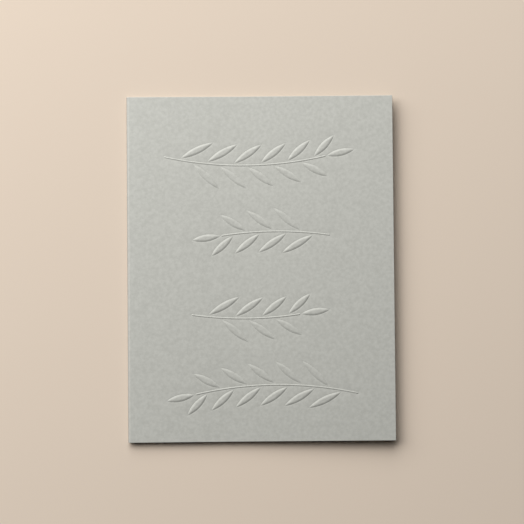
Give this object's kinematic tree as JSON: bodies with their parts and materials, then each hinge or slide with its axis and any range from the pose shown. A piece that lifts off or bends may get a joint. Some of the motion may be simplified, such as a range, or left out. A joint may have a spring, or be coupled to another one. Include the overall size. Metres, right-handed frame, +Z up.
{
  "type": "greeting card",
  "caption": "Folded card of heavy grey stock, creased down its left side and lying nearly shut, with rows of leafy sprigs blind-embossed in its front.",
  "frame": {"origin": "middle of the card's outline, on the surface that the back panel lies on", "axes": "+X from the crease to the free edges, +Y to the top of the card, +Z up, out of the front panel"},
  "size_m": [0.108, 0.1396, 0.0039],
  "materials": {
    "card_stock": "matte"
  },
  "bodies": {
    "root": {"folded_card": "card_stock"}
  },
  "joints": []
}
